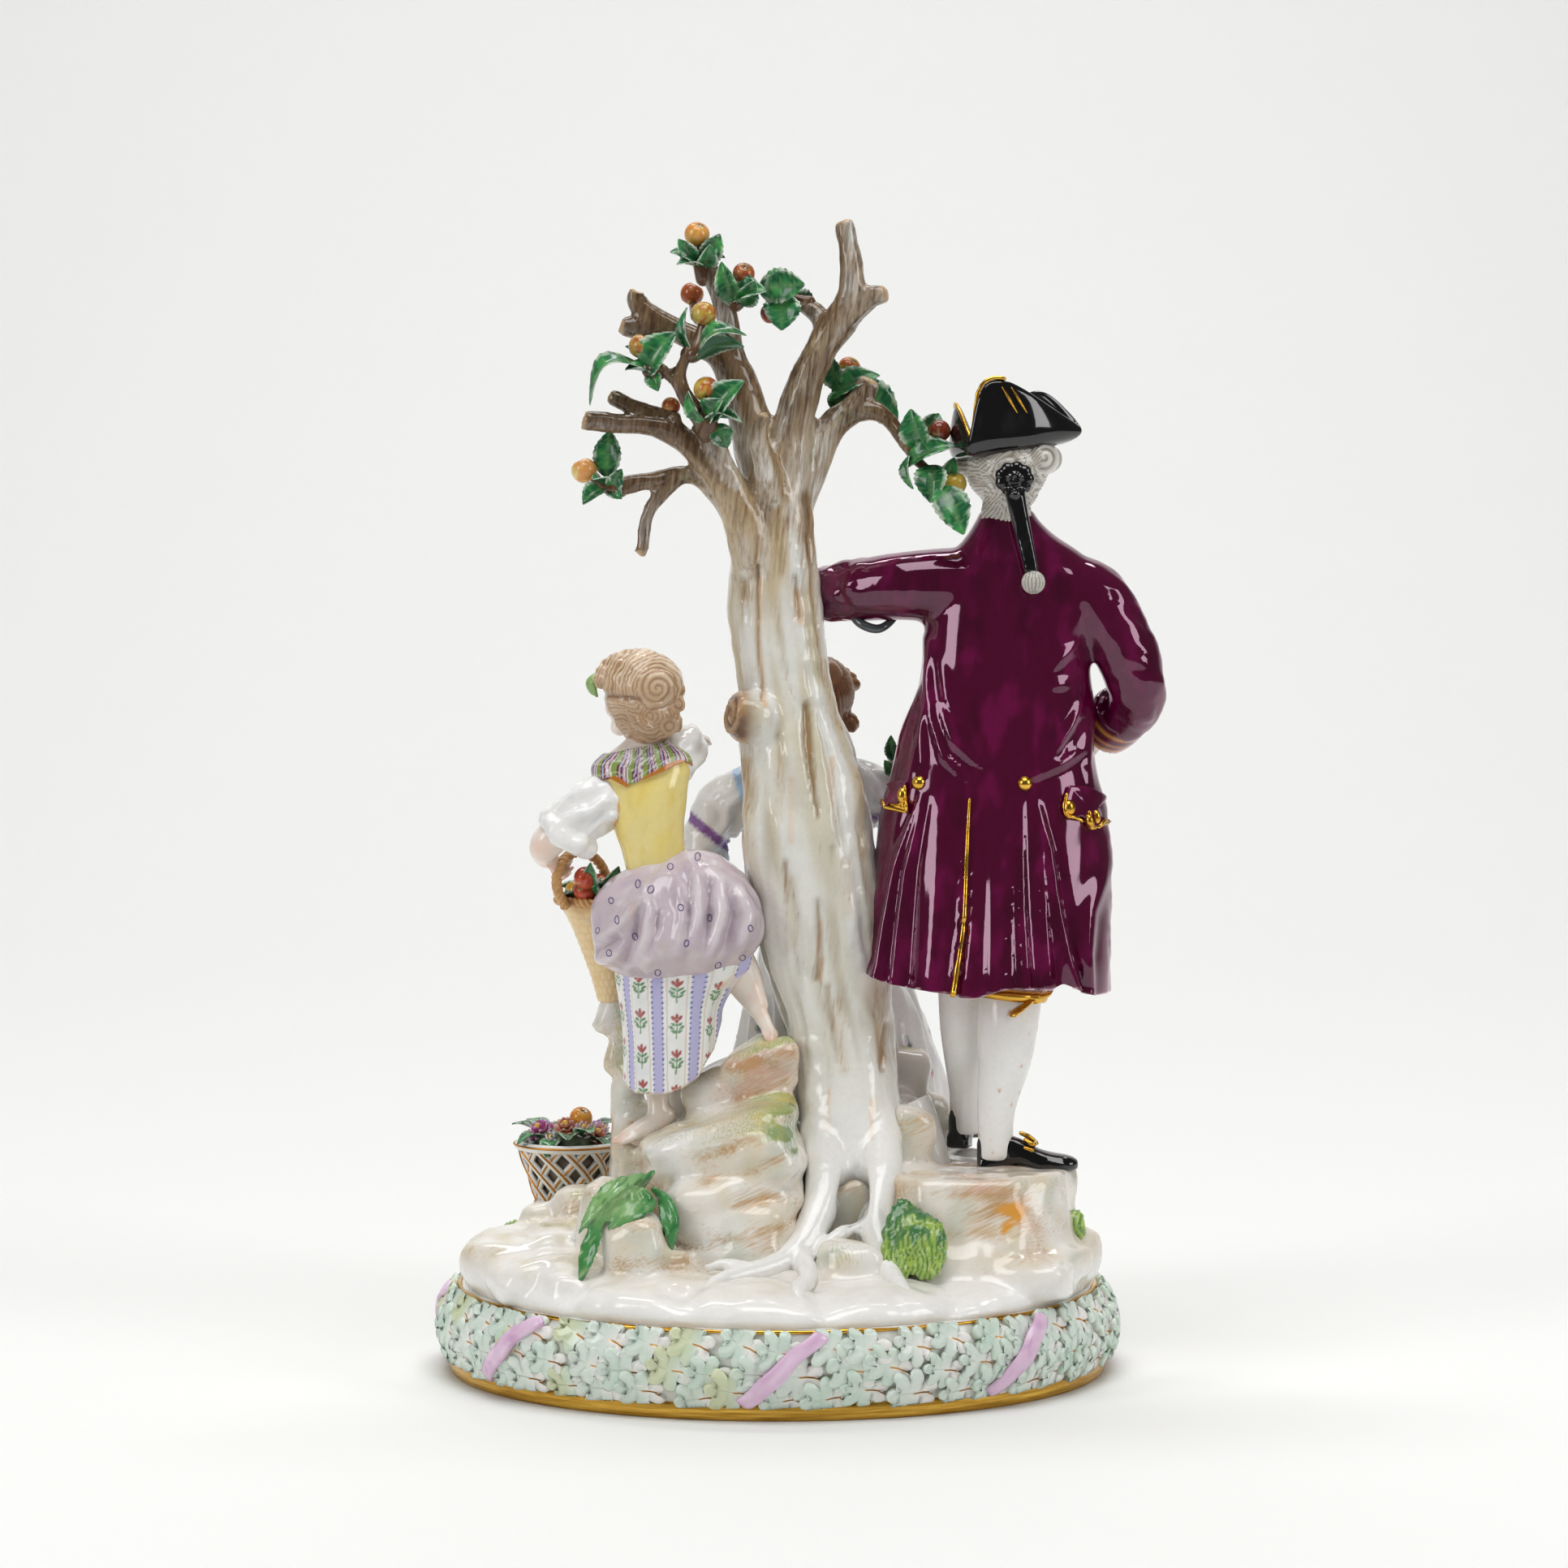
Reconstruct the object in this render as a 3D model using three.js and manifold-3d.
// A porcelain figure group: a man, a girl and a seated woman round an apple tree, on a rock mound
// with an oval plinth and a leaf garland. It is fired as one piece, so every form is fused into one solid.
// Millimetres, +Z up. The origin is the centre of the underside. -Y is the back of the group, with the
// man's and the girl's backs, and +Y is the front, where the woman sits.
import * as THREE from "three";
import { mergeVertices } from "three/addons/utils/BufferGeometryUtils.js";
import Module from "manifold-3d";

const wasm = await Module();
wasm.setup();

// Driving dimensions of the plinth
const FOOT_HALF_WIDTH = 80;
const FOOT_HALF_DEPTH = 70;
const FOOT_HEIGHT = 4;
const GARLAND_BULGE = 5;
const GARLAND_TOP = 20;
const LEDGE_HALF_WIDTH = 77.3;
const LEDGE_HALF_DEPTH = 73;

// Driving heights of the group
const APRON_TOP = 25;
const APRON_CROWN = 33;
const GIRL_GROUND = 57;
const MAN_GROUND = 49;
const TREE_CROTCH = 220;

// Small repeated things
const APPLE_RADIUS = 3.2;
const LEAF_LENGTH = 12.5;
const LEAF_WIDTH = 8;
const LEAF_THICKNESS = 1.6;
const FLOWER_RADIUS = 2.8;

const CROSS_UP = new THREE.Vector3(0, 0, 1);

// A closed geometry as a solid that can be joined to others.
function solid(geometry) {
  const bare = new THREE.BufferGeometry();
  bare.setAttribute("position", geometry.getAttribute("position"));
  if (geometry.index) bare.setIndex(geometry.index);
  const merged = mergeVertices(bare, 1e-4);
  return new wasm.Manifold(
    new wasm.Mesh({
      numProp: 3,
      vertProperties: merged.attributes.position.array,
      triVerts: new Uint32Array(merged.index.array),
    }),
  );
}

function join(solids) {
  return solids.reduce((all, next) => all.add(next));
}

// A closed skin through rings that all have the same number of points, from the first to the last.
function skin(rings) {
  const sides = rings[0].length;
  const positions = rings.flat().flatMap((p) => [p.x, p.y, p.z]);
  const middle = (ring) => ring.reduce((sum, p) => sum.add(p), new THREE.Vector3()).divideScalar(sides);
  const first = rings.length * sides;
  const last = first + 1;
  for (const end of [middle(rings[0]), middle(rings[rings.length - 1])]) positions.push(end.x, end.y, end.z);
  const index = [];
  for (let j = 0; j < sides; j++) {
    const k = (j + 1) % sides;
    const top = (rings.length - 1) * sides;
    index.push(first, k, j, last, top + j, top + k);
    for (let i = 0; i < rings.length - 1; i++) {
      const low = i * sides;
      const high = low + sides;
      index.push(low + j, low + k, high + k, low + j, high + k, high + j);
    }
  }
  const geometry = new THREE.BufferGeometry();
  geometry.setAttribute("position", new THREE.Float32BufferAttribute(positions, 3));
  geometry.setIndex(index);
  return solid(geometry);
}

// A body of level rings, each [height, left, right, near, far], in order from the bottom to the top.
// The fold function gives the share by which a ring swells at an angle and at a share of the height, and
// the hem function how far the lowest ring drops at an angle.
function body(levels, sides, fold = () => 0, hem = () => 0) {
  const bottom = levels[0][0];
  const height = levels[levels.length - 1][0] - bottom;
  const rings = levels.map(([z, left, right, near, far], level) => {
    const ring = [];
    for (let j = 0; j < sides; j++) {
      const angle = (2 * Math.PI * j) / sides;
      const swell = 1 + fold(angle, (z - bottom) / height);
      const x = (left + right) / 2 + ((right - left) / 2) * swell * Math.cos(angle);
      const y = (near + far) / 2 + ((far - near) / 2) * swell * Math.sin(angle);
      ring.push(new THREE.Vector3(x, y, level === 0 ? z - hem(angle) : z));
    }
    return ring;
  });
  return skin(rings);
}

// A limb or branch: a smooth tube through a few points, each [x, y, z, radius].
function limb(points, sides = 6, steps = points.length) {
  const curve = new THREE.CatmullRomCurve3(points.map(([x, y, z]) => new THREE.Vector3(x, y, z)));
  const rings = [];
  const across = new THREE.Vector3();
  for (let i = 0; i <= steps; i++) {
    const t = i / steps;
    const at = curve.getPoint(t);
    const along = curve.getTangent(t);
    if (i === 0) across.crossVectors(Math.abs(along.z) > 0.9 ? new THREE.Vector3(1, 0, 0) : CROSS_UP, along);
    across.addScaledVector(along, -across.dot(along)).normalize();
    const other = new THREE.Vector3().crossVectors(along, across);
    const place = t * (points.length - 1);
    const low = Math.min(Math.floor(place), points.length - 2);
    const radius = THREE.MathUtils.lerp(points[low][3], points[low + 1][3], place - low);
    const ring = [];
    for (let j = 0; j < sides; j++) {
      const angle = (2 * Math.PI * j) / sides;
      ring.push(
        at
          .clone()
          .addScaledVector(across, radius * Math.cos(angle))
          .addScaledVector(other, radius * Math.sin(angle)),
      );
    }
    rings.push(ring);
  }
  return skin(rings);
}

// An egg-shaped solid with half sizes along X, Y and Z, turned about Z and then leant about Y.
function egg([x, y, z], [a, b, c], sides = 8, turn = 0, lean = 0) {
  const geometry = new THREE.SphereGeometry(1, sides, Math.ceil(sides / 2));
  geometry.scale(a, c, b).rotateX(Math.PI / 2).rotateY(lean).rotateZ(turn).translate(x, y, z);
  return solid(geometry);
}

// A boulder: a rounded block whose corners are pushed in and out by a fixed wave.
function boulder([x, y, z], [a, b, c], turn = 0, cuts = 2) {
  const geometry = mergeVertices(new THREE.BoxGeometry(2, 2, 2, cuts, cuts, cuts).deleteAttribute("normal").deleteAttribute("uv"));
  const places = geometry.attributes.position;
  for (let i = 0; i < places.count; i++) {
    const p = new THREE.Vector3().fromBufferAttribute(places, i);
    const roundness = 0.55;
    const onBall = p.clone().normalize().multiplyScalar(1.15);
    p.lerp(onBall, roundness);
    const wave = 1 + 0.07 * Math.sin(3.1 * p.x + 2.3 * p.y + x) + 0.06 * Math.sin(4.3 * p.z - 2.9 * p.y + z);
    p.multiplyScalar(wave);
    places.setXYZ(i, p.x * a, p.y * b, p.z * c);
  }
  geometry.rotateZ(turn).translate(x, y, z);
  return solid(geometry);
}

// A whorl of leaves round a twig as one closed star: each leaf is [turn, rise, length] in degrees and
// millimetres, and its side points, its tip and the notch beside it lie on the star's outline.
function whorl([x, y, z], leaves, width = LEAF_WIDTH) {
  const radians = THREE.MathUtils.degToRad;
  const sorted = leaves.map(([turn, rise, length = LEAF_LENGTH]) => [radians(turn), radians(rise), length]);
  sorted.sort((p, q) => p[0] - q[0]);
  const place = (turn, out, side, up) => [
    x + out * Math.cos(turn) - side * Math.sin(turn),
    y + out * Math.sin(turn) + side * Math.cos(turn),
    z + up,
  ];
  const outline = sorted.flatMap(([turn, rise, length], i) => {
    const next = i + 1 < sorted.length ? sorted[i + 1][0] : sorted[0][0] + 2 * Math.PI;
    const out = length * Math.cos(rise);
    const up = length * Math.sin(rise);
    return [
      place(turn, out / 2, -width / 2, up / 2),
      place(turn, out, 0, up),
      place(turn, out / 2, width / 2, up / 2),
      place((turn + next) / 2, 1, 0, 0),
    ];
  });
  const count = outline.length;
  const index = outline.flatMap((_, i) => [i, (i + 1) % count, count, (i + 1) % count, i, count + 1]);
  const geometry = new THREE.BufferGeometry();
  const points = [...outline, [x, y, z + LEAF_THICKNESS], [x, y, z - LEAF_THICKNESS]];
  geometry.setAttribute("position", new THREE.Float32BufferAttribute(points.flat(), 3));
  geometry.setIndex(index);
  return solid(geometry);
}

function apple([x, y, z], radius = APPLE_RADIUS) {
  return solid(new THREE.IcosahedronGeometry(radius, 0).translate(x, y, z));
}

// The gilt foot, the garland of leaves that bulges over it, the ledge and the apron of flat stones,
// as one body of level rings. The leaf rows are a shallow ripple, the stones a few broad lobes.
function plinth() {
  const sides = 40;
  const ripple = (angle, share) => {
    const z = share * APRON_CROWN;
    const rows = z > FOOT_HEIGHT && z < GARLAND_TOP ? 0.011 * Math.cos((sides / 2) * angle + z) : 0;
    const stones = z > GARLAND_TOP + 1 ? 0.035 * Math.sin(9 * angle + z / 3) + 0.02 * Math.sin(5 * angle) : 0;
    return rows + stones;
  };
  const swell = (z) => GARLAND_BULGE * Math.sin((Math.PI * (z - FOOT_HEIGHT)) / (GARLAND_TOP - FOOT_HEIGHT));
  const halves = [
    [0, FOOT_HALF_WIDTH, FOOT_HALF_DEPTH],
    [FOOT_HEIGHT, FOOT_HALF_WIDTH - 1, FOOT_HALF_DEPTH - 1],
    ...[8, 12, 16].map((z) => [z, FOOT_HALF_WIDTH + swell(z), FOOT_HALF_DEPTH + 1 + swell(z)]),
    [GARLAND_TOP, LEDGE_HALF_WIDTH, LEDGE_HALF_DEPTH],
    [APRON_TOP, 73, 68],
    [APRON_CROWN, 55, 48],
  ];
  return body(halves.map(([z, a, b]) => [z, -a, a, -b, b]), sides, ripple);
}

// The boulders that carry the tree, the figures and the baskets
function mound() {
  return [
    boulder([-64, -6, 25], [11, 16, 7.5]),
    boulder([-17, -15, 38], [23, 22, 18], 0.1, 3),
    boulder([-2, 3, 64], [11, 10, 24]),
    boulder([-33, -46, 30], [9, 7, 10.5], 0.3),
    boulder([50, -12, 34], [24, 25, 15], -0.05, 3),
    boulder([44, 8, 42], [14, 14, 12]),
    boulder([-47, 26, 28], [19, 17, 9]),
    boulder([-41, 8, 60], [6.5, 7, 30]),
    boulder([10, 24, 60], [18, 16, 34]),
    boulder([14, 57, 26], [27, 12, 9]),
  ];
}

const TRUNK = [
  [36, 3, 39, -17, 17],
  [54, 4, 36, -13, 15],
  [78, 2.2, 28.4, -11, 15],
  [96, -3, 26.8, -12, 16],
  [126, -8, 23.8, -13, 16],
  [146, -8.5, 20, -11, 14.5],
  [165, -9.3, 13.3, -8.5, 12],
  [185, -11.6, 10.7, -8, 11],
  [208, -10.4, 9, -7.5, 9.5],
  [TREE_CROTCH + 5, -6, 6, -5, 6],
];

// Branches, each a short list of [x, y, z, radius]
const BRANCHES = [
  [[0, 0, 214, 6], [5, 0, 234, 4.6], [10.5, 0, 248, 4], [17, 0, 257, 3.8], [18, 0, 266, 2.9], [16, 0, 279.4, 2]],
  [[16, 0, 256, 3.4], [22, -1, 260, 2.8], [27, -2, 261, 1.9]],
  [[12, 0, 249, 2.2], [10, 2, 256, 1.8], [5, 3, 259.5, 1.5]],
  [[-1, 2, 214, 6], [-10.4, 2, 242, 4.4], [-19.3, 2, 250, 3.4], [-30, 2, 255.4, 2.8], [-34.2, 2, 260.5, 2]],
  [[-29, 2, 255, 2.5], [-38, 1, 253.8, 1.9]],
  [[-9, 2, 240, 3.2], [-12, 1, 253.9, 2.8], [-14, 0, 261, 2.4], [-18, 0, 271, 1.8]],
  [[-5, -3, 200, 5], [-10, -5, 211, 4.6], [-17, -6, 221, 3.6], [-27, -7, 228.4, 2.8], [-46.5, -8, 230.6, 1.9]],
  [[-24, -6, 229.5, 2.6], [-33, -5, 233, 2.2], [-41, -4, 236.5, 1.7]],
  [[-10, -6, 214, 3], [-17, -9, 228, 2.4], [-23.5, -11, 240, 1.6], [-21, -12, 248, 1.4]],
  [[-22, -10, 238, 1.6], [-28, -11, 243, 1.3]],
  [[-6, -3, 205, 4.4], [-17, -4, 216.6, 2.7], [-28, -4, 216.4, 2.3], [-39, -4, 214.3, 1.8]],
  [[-25, -4, 215.5, 2], [-31, -5, 208.6, 1.8], [-33.4, -6, 198.2, 1.4]],
  [[3, 2, 206, 5], [11, 3, 226.6, 3.8], [18.5, 4, 234, 3.2], [22.5, 4, 240.8, 2.1]],
  [[19, 4, 235, 2.6], [26, 2, 232, 2.1], [33.5, -1, 221.5, 1.4]],
  [[-1, -7, 214, 3.4], [-4, -10, 226, 2.4], [-2, -11, 233, 2]],
];

// Roots, which part round a hollow under the trunk
const ROOTS = [
  [[14, -10, 60, 6], [9, -24, 45, 3.6], [3, -37, 33, 2.9], [-5, -42, 29.5, 2.4], [-14, -46, 24, 1.6]],
  [[4, -38, 33, 2.4], [6.5, -46, 29, 2.2], [4.5, -56, 25, 1.4]],
  [[24, -10, 60, 6], [24, -24, 44, 3.8], [26.5, -38, 32, 2.8], [36, -50, 25, 1.6]],
];

function tree() {
  const bark = (angle, share) => 0.05 * Math.sin(5 * angle + 3 * share) + 0.03 * Math.sin(9 * angle - 5 * share);
  const knots = [
    limb([[-4, -5, 160, 4.6], [-11.5, -8.5, 160, 3.9]], 7, 1),
  ];
  return [body(TRUNK, 10, bark), ...BRANCHES.map((b) => limb(b, 5)), ...ROOTS.map((r) => limb(r, 5)), ...knots];
}

// Sprays: the apple's centre (or a bare whorl's), its leaves as [turn, rise, length] and the twig's start
const SPRAYS = [
  { at: [-19.6, 0, 275.4], leaves: [[20, 25], [165, 15], [265, -10]], twig: [-18, 0, 270] },
  { at: [-8.4, -1, 266.2], leaves: [[-20, -15], [190, -30]], twig: [-15, 0, 262] },
  { at: [2, 1, 263], leaves: [[170, 0], [-60, -35]], twig: [5, 3, 259], bare: true },
  { at: [-17.7, -8, 255.7], leaves: [[-15, -10], [-90, -40]], twig: [-21, -12, 247.5] },
  { at: [-32.8, -8, 248], leaves: [[20, -15], [200, -35]], twig: [-27.5, -11, 243] },
  { at: [-16.7, -13, 237.2], leaves: [[0, 10], [-70, -40], [160, -30]], twig: [-20, -10, 232] },
  { at: [-46.9, -3, 218.2], leaves: [[60, 60], [-60, -20], [-140, 10]], twig: [-38, -4, 214.3] },
  { at: [39.2, -2, 228.4], leaves: [[150, 25], [230, -20]], twig: [31, 0, 225] },
  { at: [43, -1, 215], leaves: [[150, 20], [220, -50]], twig: [33, -0.5, 222.2] },
  { at: [20, 4, 242], leaves: [[10, 10, 12], [-75, -35, 13], [160, 20, 10]], twig: [20.5, 4, 236], bare: true },
  { at: [-41, -5, 240], leaves: [[166, -40, 12], [-60, -30, 9]], twig: [-36, -4.5, 234], bare: true },
];

function foliage() {
  return SPRAYS.flatMap(({ at, leaves, twig, bare = false }) => {
    const [x, y, z] = at;
    const node = [x, y, z - APPLE_RADIUS - 0.4];
    const stem = limb([[...twig, 1.1], [x, y, z - APPLE_RADIUS + 0.9, 0.9]], 3, 1);
    return bare ? [stem, whorl(node, leaves)] : [stem, whorl(node, leaves), apple(at)];
  });
}

// A head with its hair, facing a compass angle, and a neck
function head([x, y, z], facing, size, neckFoot) {
  return [
    egg([x, y, z], [size, 0.94 * size, 1.1 * size], 9, facing),
    limb([[...neckFoot, 0.62 * size], [x, y, z - 0.4 * size, 0.52 * size]], 7, 1),
  ];
}

function hand([x, y, z], turn, size) {
  return egg([x, y, z], [size, 0.6 * size, 0.5 * size], 6, turn);
}

const MAN_COAT = [
  [93, 19.6, 79, -25, 22],
  [98, 20, 80.5, -24.5, 21.5],
  [118, 24.5, 80.4, -20, 18],
  [139, 27, 77.5, -16.5, 15],
  [147, 29, 75.5, -14.5, 13.5],
  [162, 33, 74.5, -13, 12.5],
  [184, 36, 81, -12, 12],
  [194, 37.5, 80, -11, 11],
  [201, 45, 70, -8.5, 9.5],
  [206, 49, 63, -6.5, 7.5],
];

// A hat with three corners: the brim goes out at each corner and stands up between them.
function cockedHat([x, y, z], firstCorner) {
  const sides = 18;
  const brim = (out, up, lift) => {
    const ring = [];
    for (let j = 0; j < sides; j++) {
      const angle = (2 * Math.PI * j) / sides;
      const corner = (1 + Math.cos(3 * (angle - firstCorner))) / 2;
      const radius = out * (1 + 0.5 * corner ** 2);
      const height = up + lift * (1 - corner) ** 0.8;
      ring.push(new THREE.Vector3(x + radius * Math.cos(angle), y + radius * Math.sin(angle), z + height));
    }
    return ring;
  };
  return skin([brim(8.5, -2, 0), brim(11, 2, 11), brim(9.4, 2.4, 11.4), brim(6, 3, 1)]);
}

function shoe([x, y, z], turn, length) {
  const heel = [x, y, z + 2.2];
  const toe = [x + length * 0.52 * Math.cos(turn), y + length * 0.52 * Math.sin(turn), z + 1.4];
  return [egg(heel, [4.8, 3.6, 4.2], 6, turn), egg(toe, [length * 0.5, 3.5, 2.8], 7, turn)];
}

function man() {
  const pleats = (angle, share) => 0.085 * Math.max(0, 1 - share / 0.45) * Math.cos(10 * angle);
  const hem = (angle) => 2.5 * Math.cos(2 * angle) - 1.5 * Math.cos(10 * angle);
  const facing = (105 * Math.PI) / 180;
  const headAt = [55, 0, 218.5];
  return [
    body(MAN_COAT, 20, pleats, hem),
    limb([[44, 0, 189, 9], [31, 0, 190, 8], [19, 5, 188, 7.4], [2, 16, 186, 4.4]], 7),
    hand([-3, 15, 186], 2.9, 5),
    limb([[74, 0, 188, 8.6], [85, -1, 180, 8], [89, -2, 165, 7.2], [80, 8, 156, 7.4]], 7),
    limb([[82, 6, 157, 3.6], [79.5, 15, 152, 2.8]], 5, 1),
    hand([79, 17, 151], 1.7, 4.6),
    ...head(headAt, facing, 10.2, [55.5, 0, 202]),
    cockedHat([57.5, 0, 226], -0.35),
    egg([56.5, -10.5, 217.5], [4.6, 2.4, 4], 6),
    limb([[57.4, -11, 217, 1.9], [59.2, -11, 206, 1.9], [61, -11.6, 195, 1.7]], 5, 2),
    egg([61.2, -12, 191.8], [2.9, 2.6, 3.6], 6),
    egg([75.5, -8, 137], [7, 6.4, 4.2], 5, 0.4),
    limb([[55, -7, 100, 8.4], [55.4, -10, 78, 7.2], [54, -12, 63, 4.6], [53, -12, 54, 4.2]], 6),
    limb([[45, 5, 100, 7.4], [45.2, 5, 76, 6.2], [45.3, 6, 64, 4.2], [45, 6, 57, 4]], 6),
    ...shoe([52, -13, MAN_GROUND], -0.05, 20),
    ...shoe([45, 6, MAN_GROUND + 4], 1.2, 17),
  ];
}

const GIRL_SKIRT = [
  [68, -37.5, -20, -15, 6],
  [78, -38.3, -14.5, -16, 7],
  [97, -38.6, -9, -18, 9],
];

const GIRL_OVERSKIRT = [
  [95, -36, -12, -16, 7],
  [98, -43, -7.5, -22, 11],
  [106, -46, -3.8, -25, 13],
  [114, -45.5, -3.4, -24, 13],
  [125, -35.5, -19, -13, 4],
];

const GIRL_BODICE = [
  [122, -36.5, -21, -12.5, 2],
  [130, -36.5, -21.3, -12.5, 1.5],
  [144, -41.8, -20.8, -12.5, 2],
  [152, -38, -27, -9, -1],
];

function girl() {
  const puffs = (angle, share) => 0.04 * Math.sin(7 * angle + 4 * share);
  const gathers = (angle) => 0.04 * Math.cos(6 * angle);
  const facing = (140 * Math.PI) / 180;
  return [
    body(GIRL_SKIRT, 12, gathers),
    body(GIRL_OVERSKIRT, 15, puffs),
    body(GIRL_BODICE, 9),
    limb([[-36, -5, 144, 5.4], [-44, -8, 138, 6.4], [-53, -8, 130, 5]], 7, 3),
    limb([[-52, -8, 130, 3.6], [-57, -5, 126, 3.2], [-54, 0, 122, 2.6]], 5, 2),
    hand([-53, 3, 121.5], 1, 3.8),
    limb([[-27, -4, 145, 5], [-20, 4, 148, 5.6], [-19, 11, 149, 4.6]], 6, 2),
    limb([[-19, 9, 149, 3], [-20, 21, 152, 2.4]], 5, 1),
    hand([-20, 23, 152.4], 1.6, 3.6),
    ...head([-33.3, -5, 163.5], facing, 9.8, [-32, -5, 150]),
    egg([-27, -13, 166], [4.8, 4.4, 4.8], 6),
    egg([-25, -8, 158.5], [3.6, 3.6, 4.6], 6),
    limb([[-30, -5, 74, 5], [-30, -5, 66, 4], [-30.5, -6, 59, 3.2]], 6, 2),
    egg([-33.5, -7.5, GIRL_GROUND + 1.4], [6.4, 3.6, 3], 7, 0.3),
    limb([[-13, -4, 100, 6], [-7, -4, 93, 4.6], [-2, -3, 86, 3]], 6, 2),
    egg([-0.5, -3.5, 82.5], [5.6, 3, 2.8], 6, -0.2, 0.7),
  ];
}

const WOMAN_BODICE = [
  [100, -4, 22, 17, 41],
  [118, -3, 19, 21, 36],
  [136, -8, 24, 20, 36],
  [150, 2, 17, 23, 33],
];

// The skirt of the seated woman: level rings, whose front edge comes forward at the knees.
const WOMAN_SKIRT = [
  [28, -19, 46, 20, 67],
  [46, -17, 46, 14, 67],
  [76, -9, 38, 10, 65],
  [91, -6, 33, 10, 66],
  [98, -5, 29, 13, 58],
  [103, -4, 24, 16, 42],
];

function woman() {
  const facing = (70 * Math.PI) / 180;
  const gathers = (angle, share) => 0.04 * Math.cos(7 * angle) * (1 - share);
  return [
    body(WOMAN_BODICE, 10),
    body(WOMAN_SKIRT, 14, gathers),
    limb([[-2, 28, 141, 6.4], [-13, 28, 134, 7.4], [-18, 32, 124, 6.4]], 7, 3),
    limb([[-17, 33, 122, 3.2], [-6, 46, 114, 2.6]], 5, 1),
    hand([-4, 48, 113.4], 0.8, 4),
    limb([[18, 28, 141, 6.4], [26, 26, 134, 6]], 7, 1),
    limb([[26, 26, 134, 3.6], [29.5, 24, 144, 2.6]], 5, 1),
    egg([30, 23.6, 147.5], [2.6, 2.6, 4.2], 6),
    ...head([10.5, 30, 161.5], facing, 9.6, [9.5, 28, 148]),
    egg([12, 23, 168], [5, 4.6, 4.4], 6),
    egg([7, 66, 36], [3.6, 6.4, 3.4], 6),
    egg([21, 66, 36], [3.6, 6.4, 3.4], 6),
  ];
}

function tallBasket() {
  const levels = [
    [86, -44.5, -38.5, 5, 11],
    [101, -48.5, -38, 1.5, 12.5],
    [114, -54, -37, -2.4, 14.4],
  ];
  const fruit = [[-47.5, 3, 116.5], [-43, 8, 117]];
  return [
    body(levels, 10),
    limb([[-51, -1, 111, 1.7], [-55, -1, 118, 1.5], [-51, 4, 123, 1.5], [-45, 10, 119, 1.5], [-43, 12, 111, 1.7]], 5),
    ...fruit.map((at) => apple(at, 4)),
    whorl([-46, 3, 114.5], [[200, 10, 10], [20, 25, 10]]),
  ];
}

function flowerBasket() {
  const [x, y] = [-52, 25];
  const radii = [[34, 7.6], [40, 8.6], [52, 12.8]];
  const rimFlowers = 5;
  const rim = [];
  for (let i = 0; i < rimFlowers; i++) rim.push([(360 * (i + 0.5)) / rimFlowers, 5, 17]);
  const made = [
    body(radii.map(([z, r]) => [z, x - r, x + r, y - r, y + r]), 12),
    egg([x, y, 54.5], [6, 6, 4.6], 6),
    whorl([x, y, 51.4], rim),
  ];
  for (let i = 0; i < rimFlowers; i++) {
    const angle = (2 * Math.PI * i) / rimFlowers;
    const spot = (out, z) => [x + out * Math.cos(angle), y + out * Math.sin(angle), z];
    made.push(egg(spot(8.6, 53.4), [FLOWER_RADIUS, FLOWER_RADIUS, FLOWER_RADIUS], 5));
  }
  return made;
}

// A dark curved hook under the man's forearm, beside the trunk
function hook() {
  return [limb([[20, 4, 185, 1.2], [21.5, 1, 181, 1.2], [25, 0, 180, 1.2], [28.5, 2, 185, 1.2]], 5)];
}

const fused = join([
  plinth(),
  ...mound(),
  ...tree(),
  ...foliage(),
  ...man(),
  ...girl(),
  ...woman(),
  ...tallBasket(),
  ...flowerBasket(),
  ...hook(),
]);

function geometryOf(made) {
  const mesh = made.getMesh();
  const geometry = new THREE.BufferGeometry();
  geometry.setAttribute("position", new THREE.Float32BufferAttribute(mesh.vertProperties, 3));
  geometry.setIndex(new THREE.BufferAttribute(mesh.triVerts, 1));
  geometry.computeVertexNormals();
  return geometry;
}

const glaze = new THREE.MeshStandardMaterial({ color: 0xe9e4da, roughness: 0.2, metalness: 0 });
const porcelain = new THREE.Mesh(geometryOf(fused), glaze);
porcelain.name = "porcelain_group";

const group = new THREE.Group();
group.add(porcelain);
export default group;
